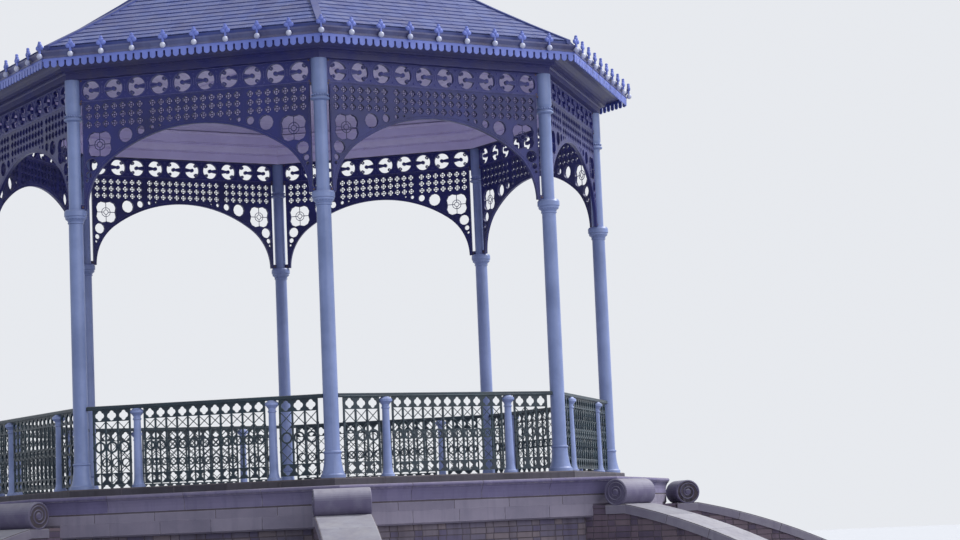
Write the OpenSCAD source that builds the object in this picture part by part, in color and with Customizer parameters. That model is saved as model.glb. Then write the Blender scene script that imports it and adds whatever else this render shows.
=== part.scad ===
// Octagonal cast-iron bandstand on a raised masonry base with scroll buttresses.
// Millimetres, +Z up. The origin is on the ground, at the centre of the plan.
// Bay 1 faces -Y and the bays run anticlockwise; corner 1 is the left end of bay 1.

/* [Plan and base] */
// Distance between neighbouring column centres, which sets the octagon
bay_w = 3300; // [3000:50:3600]
// Height of the floor above the ground
floor_h = 2050; // [1800:50:2400]
// Distance from the column line out to the nosing of the platform
ledge_w = 800; // [700:20:1000]
// Height of the stone platform edge, nosing and fascia together
edge_h = 360; // [300:10:420]
// Thickness of the nosing at the top of the platform edge
nosing_h = 45; // [30:5:70]
// How far the nosing stands out from the fascia
nosing_out = 55; // [30:5:80]
// How far the brick wall is set back behind the fascia
wall_back = 110; // [60:10:160]
// Thickness of the brick base wall
wall_t = 330; // [215:5:450]
// Height of the projecting plinth course at the ground
plinth_h = 220; // [120:10:350]
// How far the plinth course stands out from the wall
plinth_out = 45; // [20:5:80]
// Thickness of the floor slab
slab_t = 150; // [100:10:220]
// Width of the stone kerb that the columns and railings stand on
kerb_w = 400; // [340:10:460]
// Height of the kerb above the floor
kerb_h = 100; // [60:10:160]

/* [Scroll buttresses] */
// Width of the masonry of a buttress
buttress_w = 610; // [500:10:700]
// Overhang of the coping stones on each side of a buttress
coping_over = 30; // [10:5:60]
// Thickness of the sloping coping
coping_t = 110; // [80:5:150]
// Diameter of the stone rolls at the head and the foot
roll_d = 330; // [260:10:340]
// Distance from the column centre out to the centre of the head roll
roll_out = 1050; // [1030:10:1200]
// Radius of the curve that the coping follows
slope_r = 9000; // [7500:100:10000]
// Slope of the coping at the head roll, in degrees
slope_start = 12; // [9:1:14]
// Length of the foot stone
foot_l = 400; // [360:10:600]
// Height of the masonry under the foot stone
foot_base = 110; // [60:5:200]

/* [Columns] */
// Diameter of the lower shaft
shaft_d = 190; // [160:5:220]
// Diameter of the upper shaft
upper_d = 165; // [140:5:185]
// Diameter of the flared foot
foot_d = 310; // [270:5:330]
// Height of the flared foot
foot_h = 330; // [250:10:420]
// Diameter of the collar at the springing of the arches
collar_d = 290; // [260:5:330]
// Height of the collar
collar_h = 150; // [110:5:200]
// Diameter of the necking ring under the frieze
ring_d = 240; // [200:5:250]
// Diameter of the die between two friezes
die_d = 200; // [180:5:230]

/* [Arches and friezes] */
// Height of the crown of the arches above the floor
crown_h = 4620; // [4400:20:4800]
// Rise of the arches from the springing to the crown
arch_rise = 980; // [900:10:1080]
// Radius of the haunches of the arches
arch_r = 750; // [640:10:820]
// Depth of the lacework between the crown and the frieze
lace_h = 400; // [340:10:480]
// Height of the scroll frieze
frieze_h = 286; // [240:2:340]
// Thickness of the cast ironwork
iron_t = 40; // [25:5:60]
// Width of the arch rib
rib_w = 45; // [35:5:60]
// Distance from the column centre to the stile of the lacework
stile_out = 130; // [126:2:160]
// Width of the stiles and the top rail of the lacework
lace_bar = 30; // [20:2:40]
// Width of the webs between the pierced holes
web_w = 22; // [14:1:28]
// Number of rows of quatrefoils over the crown
lace_rows = 3; // [2:1:4]
// Number of scroll panels in the frieze of one bay
frieze_n = 10; // [8:1:12]
// Width of the iron bars of the scrollwork
bar_w = 24; // [16:1:30]

/* [Railings] */
// Height of the top of the handrail above the floor
rail_top = 1140; // [1050:10:1250]
// Width of the handrail
rail_w = 70; // [50:5:90]
// Depth of the handrail
rail_d = 50; // [35:5:70]
// Distance from the column centre to the railing post
post_out = 760; // [650:10:860]
// Diameter of the post at its foot
post_d = 112; // [90:2:130]
// Diameter of the cap and base of the post
post_cap_d = 172; // [150:2:190]
// Height of the gap between the kerb and the railing
rail_gap = 50; // [30:5:90]
// Thickness of the railing lattice
lattice_t = 24; // [16:2:34]
// Width of the lattice bars
lattice_w = 20; // [14:1:26]
// Spacing aimed at between the upright bars
lattice_pitch = 150; // [130:5:180]

/* [Roof and eaves] */
// Height of the beam and cove that carry the roof
beam_h = 314; // [280:2:380]
// Width of the underside of the beam
beam_w = 210; // [170:10:260]
// Distance from the column line out to the face of the gutter
eave_out = 500; // [440:10:600]
// Height of the gutter
gutter_h = 95; // [80:5:120]
// Length of the tongues of the fringe, with the strip that they hang from
fringe_h = 120; // [80:5:150]
// Number of tongues between two crest ornaments
tongues = 4; // [3:1:5]
// Number of spaces between crest ornaments along one side
crest_n = 9; // [7:1:11]
// Height of a crest ornament
crest_h = 220; // [180:10:300]
// Thickness of a crest ornament
crest_t = 22; // [14:2:30]
// Diameter of the ball on a crest ornament
ball_d = 62; // [40:2:70]
// Pitch of the roof at the eave, in degrees
roof_pitch = 28; // [24:1:32]
// Pitch of the roof below the finial, in degrees
roof_pitch_top = 37; // [34:1:42]
// Thickness of the roof
roof_t = 60; // [40:5:90]
// Diameter of the rolls that cover the hips
hip_d = 90; // [60:5:120]
// Height of the inner cornice
cornice_h = 440; // [380:10:500]
// Rise of the boarded ceiling to its centre
ceiling_rise = 520; // [300:20:700]
// Height of the finial
finial_h = 1150; // [900:50:1400]

/* [Hidden] */
bays = 8;
half = 180/bays;
seat = 0.3;
col_a = bay_w/2/tan(half);
col_r = bay_w/2/sin(half);
edge_a = col_a + ledge_w;
fascia_a = edge_a - nosing_out;
wall_a = fascia_a - wall_back;
slab_a = wall_a - wall_t + 110;
collar_top = crown_h - arch_rise;
lace_top = crown_h + lace_h;
frieze_top = lace_top + frieze_h;
beam_top = frieze_top + beam_h;
gutter_a = col_a + eave_out;
gutter_z = beam_top - gutter_h;
fringe_a = gutter_a - 28;
rail_z = rail_top - rail_d;
node_sets = ["column", "frieze", "arch_lace", "railing"];

// Across-corners radius of an octagon from its across-flats radius
function corner(a) = a/cos(half);
// Points of an arc about [cx, cy]
function arc(cx, cy, r, a0, a1, n = 8) = [for (i = [0:n]) let (a = a0 + (a1 - a0)*i/n) [cx + r*cos(a), cy + r*sin(a)]];

module turn_to(k) rotate([0, 0, 2*half*(k - 1)]) children();
module at_corner(k) rotate([0, 0, -90 - half + 2*half*(k - 1)]) children();
module above_floor() translate([0, 0, floor_h]) children();

// A closed moulding that runs round the octagon; points are [across-flats radius, height]
module moulding(points)
    rotate([0, 0, half]) rotate_extrude($fn = bays) polygon([for (p = points) [corner(p[0]), p[1]]]);

module octagon_plate(a, h) rotate([0, 0, half]) cylinder(r = corner(a), h = h, $fn = bays);

// A flat drawing stood upright, centred in thickness on the line y = -a
module upright(a, t) translate([0, t/2 - a, 0]) rotate([90, 0, 0]) linear_extrude(t) children();

module ring(d, w, f = 48) difference() {
    circle(d = d, $fn = f);
    circle(d = d - 2*w, $fn = f);
}

// Base
module base_walls() color([0.33, 0.27, 0.25]) for (k = [1:bays]) turn_to(k)
    for (c = [[0, plinth_h, wall_a + plinth_out], [plinth_h, floor_h - edge_h - plinth_h, wall_a]])
        translate([0, 0, c[0]]) linear_extrude(c[1]) base_wall_plan(c[2]);

module base_wall_plan(a) difference() {
    polygon([[0, 0], a*[-tan(half), -1], a*[tan(half), -1]]);
    polygon([[0, 0], (wall_a - wall_t)*[-tan(half), -1], (wall_a - wall_t)*[tan(half), -1]]);
    for (s = [-1, 1]) rotate(90 + s*half) translate([-2*a, -buttress_w/2]) square([2*a, buttress_w]);
}

// The coping follows one curve from the head roll down to the foot scroll. Side views are drawn
// with x as the distance from the centre of the plan.
roll_x = col_r + roll_out;
slope_x = roll_x + 0.42*roll_d;
slope_z = floor_h - edge_h;
slope_centre = [slope_x - slope_r*sin(slope_start), slope_z - slope_r*cos(slope_start)];
bed = 12;
foot_cap = 90;
foot_z = foot_base + foot_cap;
// Slope at the foot, where the coping has come down to the top of the foot roll
slope_end = acos((foot_z + roll_d - bed - slope_centre[1])/slope_r);
slope_foot = slope_centre + slope_r*[sin(slope_end), cos(slope_end)];
foot_x = slope_foot[0] + roll_d/2 + seat;
buttress_x = corner(wall_a - wall_t);

module buttress_walls() color([0.36, 0.29, 0.27]) for (k = [1:bays]) at_corner(k)
    translate([0, buttress_w/2, 0]) rotate([90, 0, 0]) linear_extrude(buttress_w) buttress_side();

module buttress_side() {
    translate([buttress_x, 0]) square([roll_x - roll_d/2 - buttress_x, slope_z]);
    translate([buttress_x, 0]) square([slope_x - buttress_x, slope_z - coping_t]);
    intersection() {
        translate(slope_centre) circle(r = slope_r - coping_t, $fn = 180);
        translate([slope_x, 0]) square([slope_foot[0] - slope_x, slope_z]);
    }
    translate([slope_foot[0] - 1, 0]) square([foot_l + 1, foot_base]);
}

module buttress_copings() color([0.72, 0.68, 0.66]) for (k = [1:bays]) at_corner(k) {
    w = buttress_w + 2*coping_over;
    translate([0, w/2, 0]) rotate([90, 0, 0]) linear_extrude(w) {
        coping_side();
        foot_side();
    }
}

module coping_side() {
    translate([roll_x, slope_z + roll_d/2 - bed]) circle(d = roll_d, $fn = 64);
    translate([roll_x - roll_d/2, slope_z - coping_t]) square([slope_x - roll_x + roll_d/2 + 1, coping_t]);
    intersection() {
        difference() {
            translate(slope_centre) circle(r = slope_r, $fn = 180);
            translate(slope_centre) circle(r = slope_r - coping_t, $fn = 180);
        }
        translate([slope_x, 0]) square([slope_foot[0] - slope_x, slope_z]);
    }
}

module foot_side() {
    translate([foot_x, foot_z - bed + roll_d/2]) circle(d = roll_d, $fn = 64);
    translate([slope_foot[0] + seat, foot_base]) square([foot_l + coping_over, foot_cap]);
}

module platform_edge() color([0.62, 0.52, 0.49]) above_floor() moulding(concat(
    [[slab_a + seat, 0], [edge_a - nosing_h/2, 0]],
    arc(edge_a - nosing_h/2, -nosing_h/2, nosing_h/2, 75, -75, 4),
    [[edge_a - nosing_h/2, -nosing_h], [fascia_a + 12, -nosing_h - 12], [fascia_a, -nosing_h - 24],
     [fascia_a, 30 - edge_h], [fascia_a - 20, -edge_h], [wall_a - wall_t, -edge_h],
     [wall_a - wall_t, -slab_t - seat], [slab_a + seat, -slab_t - seat]]));

module floor() color([0.55, 0.50, 0.47]) translate([0, 0, floor_h - slab_t]) octagon_plate(slab_a, slab_t);

module kerb() color([0.25, 0.24, 0.27]) above_floor() difference() {
    octagon_plate(col_a + kerb_w/2, kerb_h);
    translate([0, 0, -1]) octagon_plate(col_a - kerb_w/2, kerb_h + 2);
}

// Columns
module column(k) color([0.80, 0.80, 0.83]) at_corner(k) translate([col_r, 0, floor_h])
    rotate_extrude($fn = 64) polygon(concat([[0, kerb_h]], column_foot(), column_collar(), column_head(),
        [[0, frieze_top]]));

function column_foot() = let (f = foot_d/2, s = shaft_d/2, z = kerb_h) concat(
    [[f, z], [f, z + 40], [f - 12, z + 52]],
    [for (i = [0:5]) let (t = i/5) [s + 8 + (f - s - 26)*pow(1 - t, 2.2), z + 60 + (foot_h - 90)*t]],
    arc(s, z + foot_h - 12, 18, -70, 70, 4),
    [[s, z + foot_h + 8]]);

function column_collar() = let (c = collar_d/2, s = shaft_d/2 - 4, z = collar_top - collar_h) [
    [s, z - 30], [s + 12, z - 22], [s + 12, z - 6], [s + 6, z], [c - 30, z + 24], [c - 12, z + 40],
    [c - 12, z + 60], [c, z + 72], [c, collar_top - 24], [c - 14, collar_top], [upper_d/2, collar_top]];

function column_head() = let (u = upper_d/2, r = ring_d/2, z = lace_top - 250) concat(
    [[u, z], [r - 18, z + 12]],
    arc(r - 18, z + 30, 18, -90, 90, 6),
    [[u + 6, z + 52], [u + 6, z + 90], [r - 20, z + 130], [r - 20, z + 150], [die_d/2, z + 160]],
    [[die_d/2, frieze_top]]);

// Scroll friezes
frieze_w = bay_w - die_d - 2*seat;
scroll_r = frieze_h/2 - bar_w;
// Distance of the centre of opening i from the middle of the bay
function frieze_x(i) = (i + 0.5 - frieze_n/2)*frieze_w/frieze_n;

module frieze(k) color([0.17, 0.17, 0.36]) turn_to(k) above_floor() upright(col_a, iron_t)
    translate([0, lace_top + frieze_h/2]) {
        difference() {
            square([frieze_w, frieze_h], center = true);
            for (i = [0:frieze_n - 1]) translate([frieze_x(i), 0]) circle(r = scroll_r, $fn = 64);
        }
        for (i = [0:frieze_n - 1]) translate([frieze_x(i), 0]) mirror([(i + 1) % 2, 0]) frieze_scroll();
    }

// A scroll that grows from the back of the round opening: a tapered stem with a bud and two curls
// that spring from its mouth
module frieze_scroll() {
    curl = 0.42*scroll_r;
    polygon([[-scroll_r - 1, -1.5*bar_w], [0, -bar_w/2], [0, bar_w/2], [-scroll_r - 1, 1.5*bar_w]]);
    circle(r = 1.2*bar_w, $fn = 32);
    for (s = [-1, 1]) translate((scroll_r + 4 - curl/2)*[cos(48), s*sin(48)]) ring(curl, 0.6*bar_w, 32);
}

// Arch lacework: a pierced casting in each corner of the bay and one over the crown. The arch has
// three centres: one for each haunch at the level of the springing, and one for the crown.
spring_x = bay_w/2 - stile_out;
haunch_x = spring_x - rib_w - arch_r;
crown_r = (haunch_x*haunch_x + arch_rise*arch_rise - arch_r*arch_r)/2/(arch_rise - arch_r);
crown_z = arch_rise - crown_r;
split_x = 0.9*haunch_x;
lace_z = crown_h + rib_w;
row_h = (lace_h - rib_w - lace_bar)/lace_rows;

module arch_lace(k) color([0.14, 0.14, 0.32]) turn_to(k) above_floor() upright(col_a, iron_t) {
    crown_lace();
    for (s = [0, 1]) mirror([s, 0]) corner_lace();
}

// The open space under the arch, with the level of the springing at 0
module arch_space() {
    for (s = [-1, 1]) translate([s*haunch_x, 0]) circle(r = arch_r, $fn = 96);
    intersection() {
        translate([0, crown_z]) circle(r = crown_r, $fn = 180);
        reach = 1.2*crown_r/-crown_z;
        polygon([[0, crown_z], [reach*haunch_x, crown_z - reach*crown_z], [-reach*haunch_x, crown_z - reach*crown_z]]);
    }
}

// A hole of four lobes inside a circle of diameter d
module quatrefoil(d) for (a = [0:90:270]) rotate(a) translate([0.23*d, 0]) circle(d = 0.54*d, $fn = 24);

// Rows of quatrefoils between x0 and x1, above the level of the crown
module lace_holes(x0, x1) {
    n = max(1, round((x1 - x0)/row_h));
    p = (x1 - x0)/n;
    for (i = [0:n - 1], j = [0:lace_rows - 1])
        translate([x0 + (i + 0.5)*p, lace_z + (j + 0.5)*row_h]) quatrefoil(min(p, row_h) - web_w);
}

module crown_lace() {
    w = split_x - seat/2;
    difference() {
        translate([-w, collar_top + 0.8*arch_rise]) square([2*w, lace_top - collar_top - 0.8*arch_rise]);
        translate([0, collar_top]) arch_space();
        lace_holes(lace_bar - w, w - lace_bar);
        for (s = [0, 1], share = [0.155, 0.083]) mirror([s, 0]) crown_hole(share);
    }
}

module corner_lace() {
    difference() {
        translate([split_x + seat/2, collar_top]) square([spring_x - split_x - seat/2, lace_top - collar_top]);
        translate([0, collar_top]) arch_space();
        lace_holes(split_x + lace_bar, spring_x - lace_bar);
        translate([haunch_x, collar_top]) spandrel_holes();
        for (share = [0.5, 0.28]) crown_hole(share);
    }
    translate([spring_x - 1, collar_top]) square([bay_w/2 - upper_d/2 - seat - spring_x + 1, 60]);
    translate([spring_x - 1, lace_top - 40]) square([bay_w/2 - die_d/2 - seat - spring_x + 1, 40]);
}

// The holes of the spandrel: a quatrefoil in its corner and round holes that shrink away from it
// along the stile and along the lacework. Each one touches the rib and one straight side.
haunch_rib = arch_r + rib_w + web_w/2;
corner_x = spring_x - haunch_x - lace_bar;
corner_z = lace_z - collar_top - web_w/2;
corner_sum = corner_x + corner_z + haunch_rib;
big = corner_sum - sqrt(corner_sum*corner_sum - corner_x*corner_x - corner_z*corner_z + haunch_rib*haunch_rib);
// Distance along a straight side at which a hole of radius r touches a rib; k is how far the side
// is from the centre of the rib
function beside(rib, k, r) = sqrt((rib + k)*(rib - k + 2*r));

module spandrel_holes() {
    translate([corner_x - big, corner_z - big]) rotate(45) quatrefoil(2*big - web_w/2);
    for (share = [0.42, 0.21, 0.11])
        translate([corner_x - share*big, beside(haunch_rib, corner_x, share*big)]) circle(r = share*big - 2, $fn = 24);
}

module crown_hole(share) {
    r = share*big;
    translate([beside(crown_r + rib_w + web_w/2, corner_z - crown_z, r), collar_top + corner_z - r])
        circle(r = r - 2, $fn = 24);
}

// Railings
module railing(k) color([0.12, 0.20, 0.24]) turn_to(k) above_floor() {
    l = bay_w - shaft_d - 2*seat;
    translate([-l/2, -col_a, 0]) rotate([90, 0, 90]) linear_extrude(l) handrail_section();
    upright(col_a, lattice_t) {
        lattice(-post_x, post_x);
        for (s = [0, 1]) mirror([s, 0]) lattice(post_x, bay_w/2 - foot_d/2 + post_cap_d/2 - 8);
    }
}

post_x = bay_w/2 - post_out;

module handrail_section() translate([0, rail_z]) intersection() {
    translate([-rail_w/2, 0]) square([rail_w, rail_d]);
    translate([0, rail_d - 1.1*rail_w]) circle(r = 1.1*rail_w, $fn = 64);
}

// One lattice panel between two posts whose centres are at x0 and x1
module lattice(x0, x1) {
    a = x0 + post_cap_d/2 + 4;
    b = x1 - post_cap_d/2 - 4;
    z0 = kerb_h + rail_gap;
    n = max(2, round((b - a - lattice_w)/lattice_pitch));
    p = (b - a - lattice_w)/n;
    band = 0.8*p + lattice_w;
    for (z = [z0, rail_z - band + 1]) difference() {
        translate([a, z]) square([b - a, band]);
        for (i = [0:n - 1]) translate([a + (i + 0.5)*p + lattice_w/2, z + band/2]) quatrefoil(0.8*p - 2);
    }
    for (i = [0:n]) translate([a + i*p, z0 + 1]) square([lattice_w, rail_z - z0 - 1]);
    for (i = [0:n - 1])
        translate([a + (i + 0.5)*p + lattice_w/2, (z0 + rail_z)/2]) ring(p - lattice_w + 4, lattice_w, 32);
}

module rail_posts() color([0.78, 0.78, 0.82]) for (k = [1:bays], s = [-1, 1]) turn_to(k)
    translate([s*post_x, -col_a, floor_h]) rotate_extrude($fn = 48) polygon(post_profile());

function post_profile() = let (c = post_cap_d/2, b = post_d/2, t = post_d/2 - 12, z = rail_z) concat(
    [[0, kerb_h], [c, kerb_h], [c, kerb_h + 30], [c - 8, kerb_h + 36]],
    [for (i = [0:4]) let (u = i/4) [b + (c - b - 14)*pow(1 - u, 2), kerb_h + 40 + 90*u]],
    [[t, z - 150], [t + 10, z - 142], [t + 10, z - 128], [t, z - 120], [t + 4, z - 96], [c - 10, z - 66],
     [c, z - 56], [c, z - 30], [c - 8, z - 24], [c - 30, z - 8], [c - 36, z], [0, z]]);

// Roof and eaves
module ring_beam() color([0.30, 0.28, 0.40]) above_floor() moulding(concat(
    [[col_a - beam_w/2, frieze_top], [col_a + beam_w/2, frieze_top], [col_a + beam_w/2, frieze_top + 70],
     [col_a + beam_w/2 + 18, frieze_top + 82], [col_a + beam_w/2 + 18, frieze_top + 100]],
    arc(gutter_a - 200, frieze_top + 100, gutter_z - frieze_top - 100, 180, 90, 5),
    [[gutter_a - 190, gutter_z], [gutter_a - 190, beam_top - 40], [gutter_a - 230, beam_top],
     [col_a - beam_w/2, beam_top]]));

module cornice() color([0.86, 0.68, 0.66]) above_floor() {
    o = col_a - beam_w/2 - seat;
    z = frieze_top;
    moulding([[o, z], [o - 30, z], [o - 30, z + 120], [o - 16, z + 130], [o - 16, z + 142], [o - 48, z + 150],
        [o - 60, z + 180], [o - 90, z + 215], [o - 96, z + 250], [o - 80, z + 262], [o - 80, z + 274],
        [o - 112, z + 284], [o - 112, z + cornice_h - 40], [o - 150, z + cornice_h - 14],
        [o - 150, z + cornice_h], [o, z + cornice_h]]);
}

module ceiling() color([0.83, 0.70, 0.66]) above_floor() {
    a = col_a - beam_w/2 - seat;
    z = frieze_top + cornice_h;
    rotate([0, 0, half]) rotate_extrude($fn = bays)
        polygon([[0, z + ceiling_rise], [corner(a), z], [corner(a), z + 28], [0, z + ceiling_rise + 28]]);
}

module gutter() color([0.42, 0.45, 0.60]) above_floor() moulding([
    [gutter_a - 190 + seat, gutter_z], [gutter_a - 12, gutter_z], [gutter_a - 12, gutter_z + 14],
    [gutter_a - 30, gutter_z + 22], [gutter_a - 30, gutter_z + 34], [gutter_a - 16, gutter_z + 56],
    [gutter_a, gutter_z + gutter_h - 18], [gutter_a, gutter_z + gutter_h], [gutter_a - 14, gutter_z + gutter_h],
    [gutter_a - 40, gutter_z + 40], [gutter_a - 130, gutter_z + 40], [gutter_a - 150, gutter_z + gutter_h - 45],
    [gutter_a - 190 + seat, gutter_z + gutter_h - 45]]);

side_w = 2*gutter_a*tan(half);
crest_pitch = side_w/crest_n;
crest_stem = 22;
lobe_d = 60;
tip_d = 34;

module fringe() color([0.55, 0.58, 0.78]) for (k = [1:bays]) turn_to(k) above_floor() {
    w = 2*(fringe_a - 7)*tan(half) - 2;
    n = crest_n*tongues;
    p = w/n;
    upright(fringe_a, 14) translate([-w/2, gutter_z - fringe_h]) {
        translate([0, fringe_h - 34]) square([w, 34]);
        for (i = [0:n - 1]) translate([(i + 0.5)*p, 0]) {
            translate([0, 0.36*p]) circle(d = 0.72*p, $fn = 24);
            translate([-0.36*p, 0.36*p]) square([0.72*p, fringe_h - 30 - 0.36*p]);
        }
    }
}

// Leaf ornaments that stand along the gutter, one over each corner as well
module crest_ornaments() color([0.66, 0.68, 0.82]) for (k = [1:bays]) {
    turn_to(k) for (i = [1:crest_n - 1])
        translate([(i - crest_n/2)*crest_pitch, -gutter_a - seat, floor_h + gutter_z]) crest_ornament();
    at_corner(k) translate([corner(gutter_a) + seat, 0, floor_h + gutter_z]) rotate([0, 0, 90]) crest_ornament();
}

// A ball on the face of the gutter and a leaf of four lobes that grows from it
module crest_ornament() rotate([90, 0, 0]) linear_extrude(crest_t) {
    h = crest_h - tip_d/2;
    translate([-crest_stem/2, 0]) square([crest_stem, h]);
    translate([0, 0.12*crest_h]) circle(d = ball_d, $fn = 24);
    for (s = [-1, 1]) translate([s*lobe_d/2, 0.66*h]) circle(d = lobe_d, $fn = 24);
    translate([0, 0.84*h]) circle(d = lobe_d, $fn = 24);
    translate([0, h]) circle(d = tip_d, $fn = 24);
}

roof_a = gutter_a - 96;
roof_top_a = 110;
roof_n = 8;
// Height of the roof's upper surface over its eave, with a pitch that steepens towards the finial
function roof_rise(a) = let (u = (roof_a - a)/(roof_a - roof_top_a))
    (roof_a - roof_top_a)*(tan(roof_pitch)*u + (tan(roof_pitch_top) - tan(roof_pitch))*u*u/2);
function roof_step(i) = roof_a + (roof_top_a - roof_a)*i/roof_n;
roof_z = beam_top + roof_t;
roof_apex = roof_z + roof_rise(roof_top_a);

module roof() color([0.40, 0.44, 0.60]) above_floor() {
    moulding(concat(
        [for (i = [0:roof_n]) [roof_step(i), roof_z + roof_rise(roof_step(i))]],
        [[0, roof_apex], [0, roof_apex - 2*roof_t]],
        [for (i = [roof_n:-1:1]) [roof_step(i) - 30, roof_z - roof_t*1.25 + roof_rise(roof_step(i))]],
        [[roof_a - 160, beam_top], [roof_a, beam_top]]));
    for (k = [1:bays]) at_corner(k) hip_roll();
}

// The roll that covers one hip, half sunk in the sheets on both sides of it
module hip_roll() translate([0, hip_d/2, 0]) rotate([90, 0, 0]) linear_extrude(hip_d) polygon(concat(
    [for (i = [0:roof_n]) [corner(roof_step(i)), roof_z + roof_rise(roof_step(i)) + hip_d/3]],
    [for (i = [roof_n:-1:0]) [corner(roof_step(i)), roof_z + roof_rise(roof_step(i)) - roof_t/2]]));

module finial() color([0.60, 0.63, 0.75]) translate([0, 0, floor_h + roof_apex]) rotate_extrude($fn = 48)
    polygon(finial_profile());

function finial_profile() = let (h = finial_h, b = roof_top_a - 10) concat(
    [[0, 0], [b, 0], [b, 0.03*h], [0.8*b, 0.05*h], [0.55*b, 0.12*h], [0.42*b, 0.20*h], [0.42*b, 0.24*h],
     [0.75*b, 0.26*h], [0.75*b, 0.285*h], [0.42*b, 0.30*h]],
    arc(0, 0.42*h, 0.105*h, -62, 62, 8),
    [[0.36*b, 0.535*h], [0.36*b, 0.56*h], [0.6*b, 0.57*h], [0.6*b, 0.59*h], [0.28*b, 0.61*h], [0.22*b, 0.70*h]],
    arc(0, 0.745*h, 0.04*h, -60, 60, 6),
    [[0.14*b, 0.79*h], [0.05*b, h], [0, h]]);

module one_of(set, k) {
    if (set == "column") column(k);
    if (set == "frieze") frieze(k);
    if (set == "arch_lace") arch_lace(k);
    if (set == "railing") railing(k);
}

base_walls();
buttress_walls();
buttress_copings();
platform_edge();
floor();
kerb();
rail_posts();
ring_beam();
cornice();
ceiling();
gutter();
fringe();
crest_ornaments();
roof();
finial();
for (set = node_sets, k = [1:bays])
    one_of(set, k);
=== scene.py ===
from math import acos, asin, atan2, ceil, copysign, cos, degrees, floor, hypot, pi, radians, sin, sqrt, tan
import bpy
import bmesh
from mathutils import Matrix, Vector


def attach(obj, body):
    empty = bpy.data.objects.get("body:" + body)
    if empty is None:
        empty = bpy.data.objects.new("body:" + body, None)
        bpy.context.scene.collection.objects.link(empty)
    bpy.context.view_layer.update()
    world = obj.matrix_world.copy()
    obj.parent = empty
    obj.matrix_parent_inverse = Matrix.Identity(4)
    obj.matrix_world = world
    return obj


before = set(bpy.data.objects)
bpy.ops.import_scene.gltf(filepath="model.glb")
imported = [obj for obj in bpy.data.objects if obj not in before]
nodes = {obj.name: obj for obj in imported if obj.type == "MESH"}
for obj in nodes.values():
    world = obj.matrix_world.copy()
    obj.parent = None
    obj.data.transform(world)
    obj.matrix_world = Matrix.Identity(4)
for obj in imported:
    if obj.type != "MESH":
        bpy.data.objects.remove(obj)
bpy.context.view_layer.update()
scene = bpy.context.scene

# Plan of the stand in metres, as in the source of the part; bay 1 faces -Y
bays = 8
everyBay = range(1, bays + 1)
halfTurn = pi / bays
slant = tan(halfTurn)
plan = {
    "bayWidth": 3.3, "floor": 2.05, "ledge": 0.8, "edgeHeight": 0.36, "courseHigh": 0.14, "nosing": 0.045,
    "nosingOut": 0.055, "wallBack": 0.11, "slabBack": 0.22, "plinthHigh": 0.22, "plinthOut": 0.045,
    "kerbWide": 0.4, "kerbHigh": 0.1, "crown": 4.62, "archRise": 0.98, "archRadius": 0.75, "laceHigh": 0.4,
    "friezeHigh": 0.286, "beamHigh": 0.314, "eaveOut": 0.5, "gutterHigh": 0.095,
}
halfBay = plan["bayWidth"] / 2
columnA = halfBay / slant
columnR = halfBay / sin(halfTurn)
edgeA = columnA + plan["ledge"]
fasciaA = edgeA - plan["nosingOut"]
wallA = fasciaA - plan["wallBack"]
slabA = wallA - plan["slabBack"]
springZ = plan["crown"] - plan["archRise"]
laceTop = plan["crown"] + plan["laceHigh"]
friezeTop = laceTop + plan["friezeHigh"]
beamTop = friezeTop + plan["beamHigh"]
gutterA = columnA + plan["eaveOut"]
floorZ = plan["floor"]


def toBay(k):
    return Matrix.Rotation(2 * halfTurn * (k - 1), 4, "Z")


def toCorner(k):
    return Matrix.Rotation(-pi / 2 - halfTurn + 2 * halfTurn * (k - 1), 4, "Z")


def polar(r, a, cx=0.0, cy=0.0):
    return cx + r * cos(a), cy + r * sin(a)


def arcLine(cx, cy, r, a0, a1, n):
    return [polar(r, radians(a0 + (a1 - a0) * i / n), cx, cy) for i in range(n + 1)]


def circleLine(cx, cy, r, n):
    return [polar(r, 2 * pi * i / n, cx, cy) for i in range(n)]


# A node with its settings, and with each input linked or set
def put(tree, kind, feeds=None, **settings):
    node = tree.nodes.new(kind)
    for key, value in settings.items():
        setattr(node, key, value)
    for key, value in (feeds or {}).items():
        socket = node.inputs[key]
        if isinstance(value, bpy.types.NodeSocket):
            tree.links.new(value, socket)
        else:
            socket.default_value = value
    return node


def blendColour(tree, factor, first, second):
    return put(tree, "ShaderNodeMix", {0: factor, 6: first, 7: second}, data_type="RGBA").outputs[2]


def reach(tree, value, fromLow, fromHigh, toLow=0.0, toHigh=1.0):
    feeds = {"Value": value, "From Min": fromLow, "From Max": fromHigh, "To Min": toLow, "To Max": toHigh}
    return put(tree, "ShaderNodeMapRange", feeds).outputs["Result"]


def combine(tree, first, second, way, clamp=False):
    return put(tree, "ShaderNodeMath", {0: first, 1: second}, operation=way, use_clamp=clamp).outputs[0]


def times(tree, first, second):
    return combine(tree, first, second, "MULTIPLY", True)


def placeOf(tree):
    return tree.nodes.new("ShaderNodeTexCoord").outputs["Object"]


def normalOf(tree):
    return tree.nodes.new("ShaderNodeNewGeometry").outputs["Normal"]


def toneOf(tree):
    return put(tree, "ShaderNodeAttribute", attribute_name="tone", attribute_type="GEOMETRY").outputs["Fac"]


def noise(tree, place, scale, detail, **more):
    return put(tree, "ShaderNodeTexNoise", {"Vector": place, "Scale": scale, "Detail": detail, **more}).outputs[0]


def stretched(tree, place, scale):
    return put(tree, "ShaderNodeMapping", {"Vector": place, "Scale": scale}).outputs[0]


def newGroup(name, inputs, outputs):
    tree = bpy.data.node_groups.new(name, "ShaderNodeTree")
    for label, value in inputs.items():
        kind = "NodeSocketVector" if isinstance(value, tuple) else "NodeSocketFloat"
        tree.interface.new_socket(label, in_out="INPUT", socket_type=kind).default_value = value
    for label in outputs:
        tree.interface.new_socket(label, in_out="OUTPUT", socket_type="NodeSocketFloat")
    return tree, tree.nodes.new("NodeGroupInput").outputs, tree.nodes.new("NodeGroupOutput").inputs


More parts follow.
